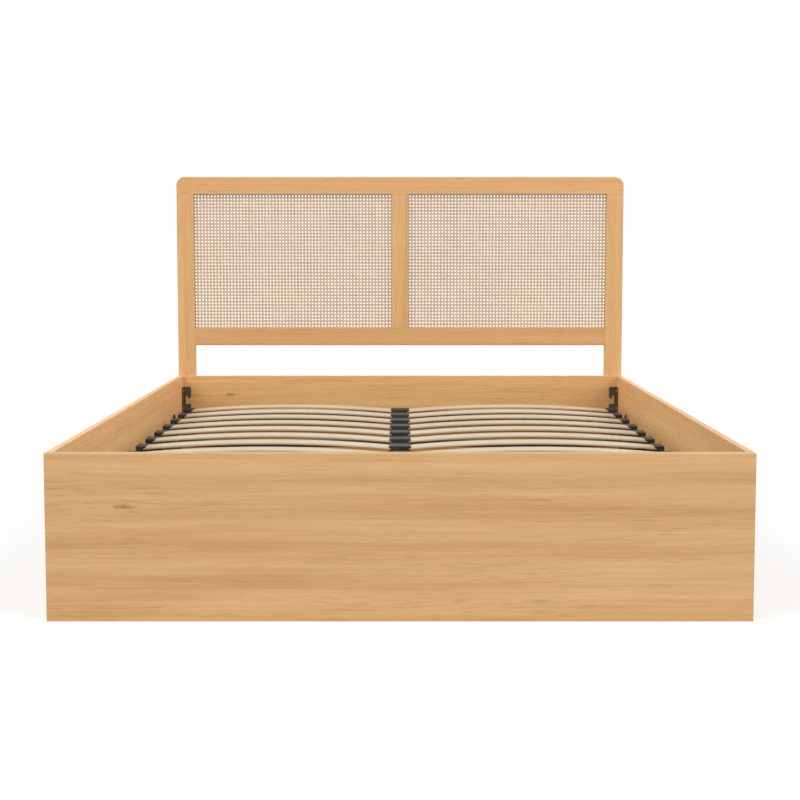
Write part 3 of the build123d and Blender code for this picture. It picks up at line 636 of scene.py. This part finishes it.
ply_line = reach(tree, ply_line, 0.0, 1.0, 0.0, 0.35, smooth=True)
facing = add_node(tree, "ShaderNodeSeparateXYZ", {0: coords.outputs["Normal"]}).outputs["Y"]
facing = add_node(tree, "ShaderNodeMath", {0: facing}, operation="ABSOLUTE").outputs[0]
on_edge = reach(tree, facing, 0.45, 0.8)
edge_tone = mixed(tree, ply_line, wood.outputs["Color"], colour(176, 142, 100))
birch_tone = mixed(tree, on_edge, wood.outputs["Color"], edge_tone)
bump = add_node(tree, "ShaderNodeBump", {"Height": wood.outputs["Height"], "Strength": 0.5,
                                         "Distance": 0.00004})
surface = add_node(tree, "ShaderNodeBsdfPrincipled", {
    "Base Color": birch_tone, "Roughness": wood.outputs["Roughness"], "Normal": bump.outputs[0],
    "Specular IOR Level": 0.4, "Coat Weight": 0.15, "Coat Roughness": 0.25})
add_node(tree, "ShaderNodeOutputMaterial", {"Surface": surface.outputs[0]})
slat.name = "birch_slats_right"
slats_other = mirror_twin(slat, "birch_slats_left")
for piece, hand in ((slat, "right"), (slats_other, "left")):
    dress(piece, birch)
    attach(piece, "platform")
    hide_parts("slats_" + hand)

# ---------------------------------------------------------------------------------------------
# Slat caps
# Moulded black plastic pockets with a hollowed mouth, 3.6 mm thick over the slat. A peg under
# each clips into the tube. The centre caps take a slat from either side.
# ---------------------------------------------------------------------------------------------

def block(name, low, high):
    clear_picks()
    middle = [(a + b) / 2 for a, b in zip(low, high)]
    size = [b - a for a, b in zip(low, high)]
    bpy.ops.mesh.primitive_cube_add(size=1, location=middle, scale=size)
    piece = bpy.context.object
    piece.name = name
    bpy.ops.object.transform_apply(location=True, rotation=True, scale=True)
    return piece


def post(name, centre, radius, depth, turn=(0, 0, 0), sides=32):
    clear_picks()
    bpy.ops.mesh.primitive_cylinder_add(vertices=sides, radius=radius, depth=depth,
                                        location=centre, rotation=turn)
    piece = bpy.context.object
    piece.name = name
    bpy.ops.object.transform_apply(location=True, rotation=True, scale=True)
    return piece


def cut_away(piece, cutters, operation="DIFFERENCE"):
    for cutter in cutters:
        apply_modifier(piece, "BOOLEAN", object=cutter, operation=operation, solver="EXACT")
        bpy.data.objects.remove(cutter)


def slanted_pocket(end, mouth_end, low, high, width, middle_y):
    # a block whose far end is lifted as the slat is
    pocket = block("pocket", (min(end, mouth_end), middle_y - width / 2, low),
                   (max(end, mouth_end), middle_y + width / 2, high))
    rise_here = bow_height(mouth_end) - bow_height(end)
    for corner in pocket.data.vertices:
        if abs(corner.co.x - mouth_end) < 0.0001:
            corner.co.z += rise_here
    return pocket


cap_low, cap_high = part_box("side_caps_right")
peg_depth = 0.012
peg_half = 0.0045
cap_foot = cap_low.z + peg_depth
cap_width = cap_high.y - cap_low.y - row_pitch * (slat_rows - 1)
cap_y = cap_low.y + cap_width / 2
cap_corner = 0.0009
slack = 0.0003
hollow = 0.0022
hollow_half = slat_width / 2 + slack
hollow_radius = (hollow_half ** 2 + hollow ** 2) / (2 * hollow)
slat_roof = slat_foot + slat_thickness
nose_radius = 0.0065


def cap_body(name, wall, base_end, mouth, wall_end, slat_tip):
    # wall and base_end bound the cap's foot, mouth its roof, and wall_end its two side walls
    outward = 1 if wall > base_end else -1
    cap = block(name, (min(wall, base_end), cap_low.y, cap_foot),
                (max(wall, base_end), cap_low.y + cap_width, cap_high.z))
    tip = slat_tip + outward * slack
    rise_here = bow_height(base_end)
    pocket = slanted_pocket(tip, base_end, slat_foot - slack, slat_roof + slack,
                            slat_width + 2 * slack, cap_y)
    corner = mouth - outward * hollow
    far = base_end - outward * 0.004
    above_foot = block("cut", (min(corner, far), cap_low.y - 0.01, slat_foot - slack + rise_here),
                       (max(corner, far), cap_low.y + cap_width + 0.01, cap_high.z + 0.01))
    mouth_round = post("cut", (mouth - outward * hollow_radius, cap_y, cap_high.z + 0.004),
                       hollow_radius, 2 * (cap_high.z + 0.004 - slat_roof - slack), sides=360)
    keep = block("keep", (mouth - 0.02, cap_y - hollow_half, slat_roof),
                 (mouth + 0.02, cap_y + hollow_half, cap_high.z + 0.02))
    apply_modifier(mouth_round, "BOOLEAN", object=keep, operation="INTERSECT", solver="EXACT")
    bpy.data.objects.remove(keep)
    nose_middle = (slat_foot + slat_roof) / 2
    nose = post("cut", (wall_end - outward * nose_radius, cap_y, nose_middle), nose_radius,
                cap_width + 0.02, (math.radians(90), 0, 0), 48)
    start = wall_end - outward * nose_radius
    nose_gap = block("cut", (min(start, far), cap_low.y - 0.01, nose_middle - nose_radius),
                     (max(start, far), cap_low.y + cap_width + 0.01, nose_middle + nose_radius))
    trim = block("trim", (min(far, wall) - 0.01, cap_low.y - 0.02,
                          slat_foot - slack + rise_here / 2),
                 (max(far, wall) + 0.01, cap_low.y + cap_width + 0.02, slat_roof + slack))
    for cutter in (nose, nose_gap):
        apply_modifier(cutter, "BOOLEAN", object=trim, operation="INTERSECT", solver="EXACT")
    bpy.data.objects.remove(trim)
    cut_away(cap, (above_foot, mouth_round, pocket, nose, nose_gap))
    return cap


def finish_cap(cap, peg_x, name):
    peg = block("peg", (peg_x - peg_half, cap_y - peg_half, cap_low.z),
                (peg_x + peg_half, cap_y + peg_half, cap_foot + 0.0008))
    cut_away(cap, (peg,), "UNION")
    apply_modifier(cap, "BEVEL", width=cap_corner, segments=2, limit_method="ANGLE",
                   angle_limit=math.radians(50), use_clamp_overlap=True)
    bpy.ops.object.shade_smooth_by_angle(angle=math.radians(35))
    apply_modifier(cap, "WEIGHTED_NORMAL", keep_sharp=True)
    repeat(cap, slat_rows, (0, row_pitch, 0))
    cap.name = name


# Distances from the middle of the bed to the ends of each cap's foot, roof and side walls
side_foot, side_mouth, side_wall, side_peg = 0.6225, 0.6675, 0.6712, 0.639
centre_foot, centre_mouth, centre_wall = 0.029, 0.0268, 0.0237
side_cap = cap_body("side_cap", cap_high.x, side_foot, side_mouth, side_wall, slat_end)
finish_cap(side_cap, side_peg, "moulded_side_caps_right")
side_cap_other = mirror_twin(side_cap, "moulded_side_caps_left")
centre_half = cap_body("centre_half", 0.0, centre_foot, centre_mouth, centre_wall, slat_start)
centre_other = mirror_twin(centre_half, "centre_other")
cut_away(centre_half, (centre_other,), "UNION")
finish_cap(centre_half, 0.0, "moulded_centre_caps")

# Fine moulded grain for plastics and rubber
moulded_grain, given, made = new_effect(
    "moulded_grain", [("Vector", "NodeSocketVector", None), ("Tone", "NodeSocketColor", None),
                      ("Rough", "NodeSocketFloat", 0.45)])
grit = cloud(moulded_grain, stretched(moulded_grain, given.outputs["Vector"],
                                      (1500, 1500, 1500)), 2.0)
smear = cloud(moulded_grain, stretched(moulded_grain, given.outputs["Vector"], (35, 35, 35)), 3.0)
moulded_grain.links.new(mixed(moulded_grain, reach(moulded_grain, smear, 0.35, 0.7, 0.0, 0.35),
                              given.outputs["Tone"], (0.05, 0.048, 0.045, 1)),
                        made.inputs["Color"])
moulded_grain.links.new(sum_of(moulded_grain, given.outputs["Rough"],
                               reach(moulded_grain, smear, 0.3, 0.7, -0.06, 0.08)),
                        made.inputs["Roughness"])
moulded_grain.links.new(grit, made.inputs["Height"])


def moulded_finish(name, tone, rough):
    return surfaced(name, moulded_grain, {"Tone": tone, "Rough": rough}, 0.00003, 0.4,
                    Specular_IOR_Level=0.5)


black_plastic = moulded_finish("black_plastic", (0.015, 0.0135, 0.012, 1), 0.5)
for piece, nodes in ((side_cap, ("side_caps_right",)), (side_cap_other, ("side_caps_left",)),
                     (centre_half, ("centre_caps",))):
    dress(piece, black_plastic)
    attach(piece, "platform")
    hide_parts(*nodes)
dress(finished("tube_plugs", 0.0008), black_plastic)

# ---------------------------------------------------------------------------------------------
# Corner brackets
# Angles of 3 mm steel in each corner, screwed to the side panel. Three slots in the end flange
# hook over pins. They are stove-painted dark bronze.
# ---------------------------------------------------------------------------------------------

paint_skin, given, made = new_effect(
    "paint_skin", [("Vector", "NodeSocketVector", None), ("Tone", "NodeSocketColor", None),
                   ("Worn", "NodeSocketColor", (0.2, 0.19, 0.18, 1)),
                   ("Rough", "NodeSocketFloat", 0.4)])
peel = cloud(paint_skin, stretched(paint_skin, given.outputs["Vector"], (700, 700, 700)), 2.0)
drift = cloud(paint_skin, stretched(paint_skin, given.outputs["Vector"], (18, 18, 18)), 4.0, 0.6)
specks = reach(paint_skin, cloud(paint_skin, stretched(
    paint_skin, given.outputs["Vector"], (240, 240, 240)), 1.0), 0.72, 0.80)
paint_tone = mixed(paint_skin, reach(paint_skin, drift, 0.3, 0.7, 0.0, 0.35),
                   given.outputs["Tone"], given.outputs["Worn"])
paint_tone = mixed(paint_skin, sum_of(paint_skin, specks, 0.3, "MULTIPLY"), paint_tone,
                   given.outputs["Worn"])
paint_skin.links.new(paint_tone, made.inputs["Color"])
paint_skin.links.new(sum_of(paint_skin, given.outputs["Rough"],
                            reach(paint_skin, drift, 0.3, 0.7, -0.07, 0.1)),
                     made.inputs["Roughness"])
paint_skin.links.new(peel, made.inputs["Height"])


def painted_finish(name, tone, worn, rough, relief=0.00004):
    return surfaced(name, paint_skin, {"Tone": tone, "Worn": worn, "Rough": rough}, relief, 0.35)


bronze_paint = painted_finish("bronze_paint", colour(74, 60, 46), colour(104, 88, 70), 0.38)
for node in ("corner_bracket_foot_left", "corner_bracket_foot_right",
             "corner_bracket_head_left", "corner_bracket_head_right"):
    dress(finished(node, 0.0006), bronze_paint)

# ---------------------------------------------------------------------------------------------
# Platform steel
# Square tube, cut and welded, then powder-coated black: two side rails, head and foot tubes, a
# centre bar and four cross tubes, with the bent mattress bar on the foot tube.
# ---------------------------------------------------------------------------------------------

powder_coat = painted_finish("powder_coat", (0.034, 0.030, 0.027, 1), (0.060, 0.054, 0.048, 1),
                             0.46, 0.00008)
for node in ("platform_rail_left", "platform_rail_right", "platform_head_tube",
             "platform_foot_tube", "platform_centre_bar", "platform_cross_tubes"):
    dress(finished(node, 0.0016, 3), powder_coat)
for node, edge in (("mattress_bar", 0.0015), ("hinge_plate_left", 0.0008),
                   ("hinge_plate_right", 0.0008), ("rest_brackets", 0.0006),
                   ("strut_stud_plates", 0.0006), ("pivot_sleeves", 0.0006)):
    dress(finished(node, edge), powder_coat)
rubber = moulded_finish("rubber", (0.02, 0.02, 0.02, 1), 0.7)
for node in ("rest_pads", "bearer_pads"):
    dress(finished(node, 0.0008), rubber)

# ---------------------------------------------------------------------------------------------
# Fasteners
# Pan-head screws with a cross recess hold the brackets and plates, and socket-head bolts the
# headboard. Pins, nuts and clips are turned or pressed. All are steel, zinc-plated in a barrel.
# ---------------------------------------------------------------------------------------------

# The separate solids that a piece is made of, each as its list of points
def loose_solids(piece):
    group = list(range(len(piece.data.vertices)))

    def root(index):
        while group[index] != index:
            group[index] = group[group[index]]
            index = group[index]
        return index

    for edge in piece.data.edges:
        group[root(edge.vertices[0])] = root(edge.vertices[1])
    solids = {}
    for vertex in piece.data.vertices:
        solids.setdefault(root(vertex.index), []).append(vertex.co.copy())
    return list(solids.values())


# The head of a screw or bolt: its middle, its outward axis and its radius
def head_of(points):
    low = Vector([min(point[i] for point in points) for i in range(3)])
    high = Vector([max(point[i] for point in points) for i in range(3)])
    long_way = max(range(3), key=lambda i: high[i] - low[i])
    found = []
    for end, sign in ((low, -1), (high, 1)):
        near_end = [p for p in points if abs(p[long_way] - end[long_way]) < 0.0012]
        middle = (low + high) / 2
        middle[long_way] = end[long_way]
        radius = 0.0
        for p in near_end:
            across = p - middle
            across[long_way] = 0
            radius = max(radius, across.length)
        outward = Vector((0, 0, 0))
        outward[long_way] = sign
        found.append((radius, middle, outward))
    return max(found, key=lambda item: item[0])


def cut_recess(piece, hexagon=False, depth=0.0014):
    cutters = []
    for points in loose_solids(piece):
        radius, middle, outward = head_of(points)
        if hexagon:
            shapes = [post("recess", (0, 0, 0), radius * 0.55, 2 * depth, sides=6)]
        else:
            arm, web = radius * 0.62, radius * 0.13
            shapes = [block("recess", (-arm, -web, -depth), (arm, web, depth)),
                      block("recess", (-web, -arm, -depth), (web, arm, depth))]
            cut_away(shapes[0], (shapes[1],), "UNION")
        recess = shapes[0]
        recess.rotation_euler = outward.to_track_quat("Z", "Y").to_euler()
        recess.location = middle
        pick(recess)
        bpy.ops.object.transform_apply(location=True, rotation=True, scale=True)
        cutters.append(recess)
    cut_away(piece, (join(cutters, "recesses"),))

brushed_metal, given, made = new_effect(
    "brushed_metal", [("Vector", "NodeSocketVector", None), ("Tone", "NodeSocketColor", None),
                      ("Rough", "NodeSocketFloat", 0.3)])
lines = cloud(brushed_metal, stretched(brushed_metal, given.outputs["Vector"],
                                       (900, 900, 120)), 2.0)
bloom = cloud(brushed_metal, stretched(brushed_metal, given.outputs["Vector"], (90, 90, 90)), 3.0)
brushed_metal.links.new(mixed(brushed_metal, reach(brushed_metal, bloom, 0.3, 0.7, 0.0, 0.4),
                              given.outputs["Tone"], (0.42, 0.42, 0.40, 1)), made.inputs["Color"])
brushed_metal.links.new(sum_of(brushed_metal, given.outputs["Rough"],
                               reach(brushed_metal, bloom, 0.3, 0.7, -0.05, 0.1)),
                        made.inputs["Roughness"])
brushed_metal.links.new(lines, made.inputs["Height"])


def metal_finish(name, tone, rough, relief=0.00002):
    return surfaced(name, brushed_metal, {"Tone": tone, "Rough": rough}, relief, 0.3, Metallic=1.0)


zinc_plate = metal_finish("zinc_plate", (0.58, 0.58, 0.58, 1), 0.32)
for node in ("bracket_screws", "hook_pins", "headboard_bolts", "hinge_screws", "rest_screws",
             "strut_lower_pins", "strut_lower_clips", "pivot_pins", "pivot_nuts",
             "strut_upper_clips"):
    fastener = finished(node, 0.0005 if "screws" in node else 0.0004)
    if "screws" in node or node == "headboard_bolts":
        cut_recess(fastener, node == "headboard_bolts")
    dress(fastener, zinc_plate)

# ---------------------------------------------------------------------------------------------
# Gas struts
# Seamless tube painted gloss black, a hard-chromed and polished rod, and a die-cast zinc eye
# screwed onto either end. One strut stands on each side, between the side panel and the platform.
# ---------------------------------------------------------------------------------------------

strut_paint = painted_finish("strut_paint", (0.014, 0.014, 0.015, 1), (0.03, 0.03, 0.03, 1), 0.2,
                             0.00002)
zinc_casting = metal_finish("zinc_casting", (0.5, 0.5, 0.5, 1), 0.38)
chrome = metal_finish("chrome", (0.78, 0.78, 0.79, 1), 0.08, 0.000004)
for hand in ("left", "right"):
    dress(finished("strut_cylinder_" + hand, 0.001), strut_paint)
    dress(finished("strut_eye_" + hand, 0.0015), zinc_casting)
    dress(finished("rod_fitting_" + hand, 0.0015), zinc_casting)
    dress(finished("strut_rod_" + hand, 0.0003), chrome)

# ---------------------------------------------------------------------------------------------
# Pull strap, bearer and storage floor
# Polyester webbing folded and sewn into a handle; a planed pine bearer and battens; floor boards
# of hardboard laid loose on the battens. The wood is left raw.
# ---------------------------------------------------------------------------------------------

# Webbing: ribs across the strap, each broken into short floats; the colour is paler on the crests
# of the weave and dark in its hollows, partly wear and partly painted shade
strap_weave, given, made = new_effect(
    "strap_weave", [("Vector", "NodeSocketVector", None)])
ribs = add_node(strap_weave, "ShaderNodeTexWave", {
    "Vector": given.outputs["Vector"], "Scale": 190.0, "Distortion": 0.15},
    wave_type="BANDS", bands_direction="X").outputs["Fac"]
floats = add_node(strap_weave, "ShaderNodeTexWave", {
    "Vector": stretched(strap_weave, given.outputs["Vector"], (1, 1, 1), (0, 0, 0),
                        (0, math.radians(32), math.radians(32))),
    "Scale": 130.0, "Distortion": 0.2}, wave_type="BANDS", bands_direction="Z").outputs["Fac"]
fuzz = cloud(strap_weave, stretched(strap_weave, given.outputs["Vector"], (900, 900, 900)), 3.0)
weave = sum_of(strap_weave, ribs, floats, "MULTIPLY")
# the colour follows the weave's height: painted shade in the hollows, paler worn crests
strap_weave.links.new(mixed(strap_weave, sum_of(strap_weave, weave, fuzz, "MULTIPLY"),
                            (0.030, 0.030, 0.033, 1), (0.13, 0.13, 0.14, 1)), made.inputs["Color"])
strap_weave.links.new(reach(strap_weave, weave, 0.0, 1.0, 0.92, 0.72), made.inputs["Roughness"])
strap_weave.links.new(sum_of(strap_weave, weave, sum_of(strap_weave, fuzz, 0.25, "MULTIPLY")),
                      made.inputs["Height"])
webbing = surfaced("webbing", strap_weave, {}, 0.0003, 0.9, Specular_IOR_Level=0.25)
dress(finished("pull_strap", 0.0005), webbing)
pine = wood_finish("pine", colour(232, 202, 156), colour(206, 166, 116), ALONG_Y, (0.1, 0.3, 0.2),
                   pores=0.2)
pine_across = wood_finish("pine_across", colour(232, 202, 156), colour(206, 166, 116), ALONG_X,
                          (0.5, 0.3, 0.2), pores=0.2)
dress(finished("foot_bearer", 0.0012), pine_across)
dress(finished("floor_battens", 0.0012), pine)
hardboard = wood_finish("hardboard", colour(214, 196, 168), colour(196, 176, 146), ALONG_Y,
                        (0.1, 0.3, 0.2), pores=0.2)
for hand in ("left", "right"):
    dress(finished("floor_board_" + hand, 0.0006), hardboard)

# ---------------------------------------------------------------------------------------------
# Last, nothing is left picked
# ---------------------------------------------------------------------------------------------

clear_picks()
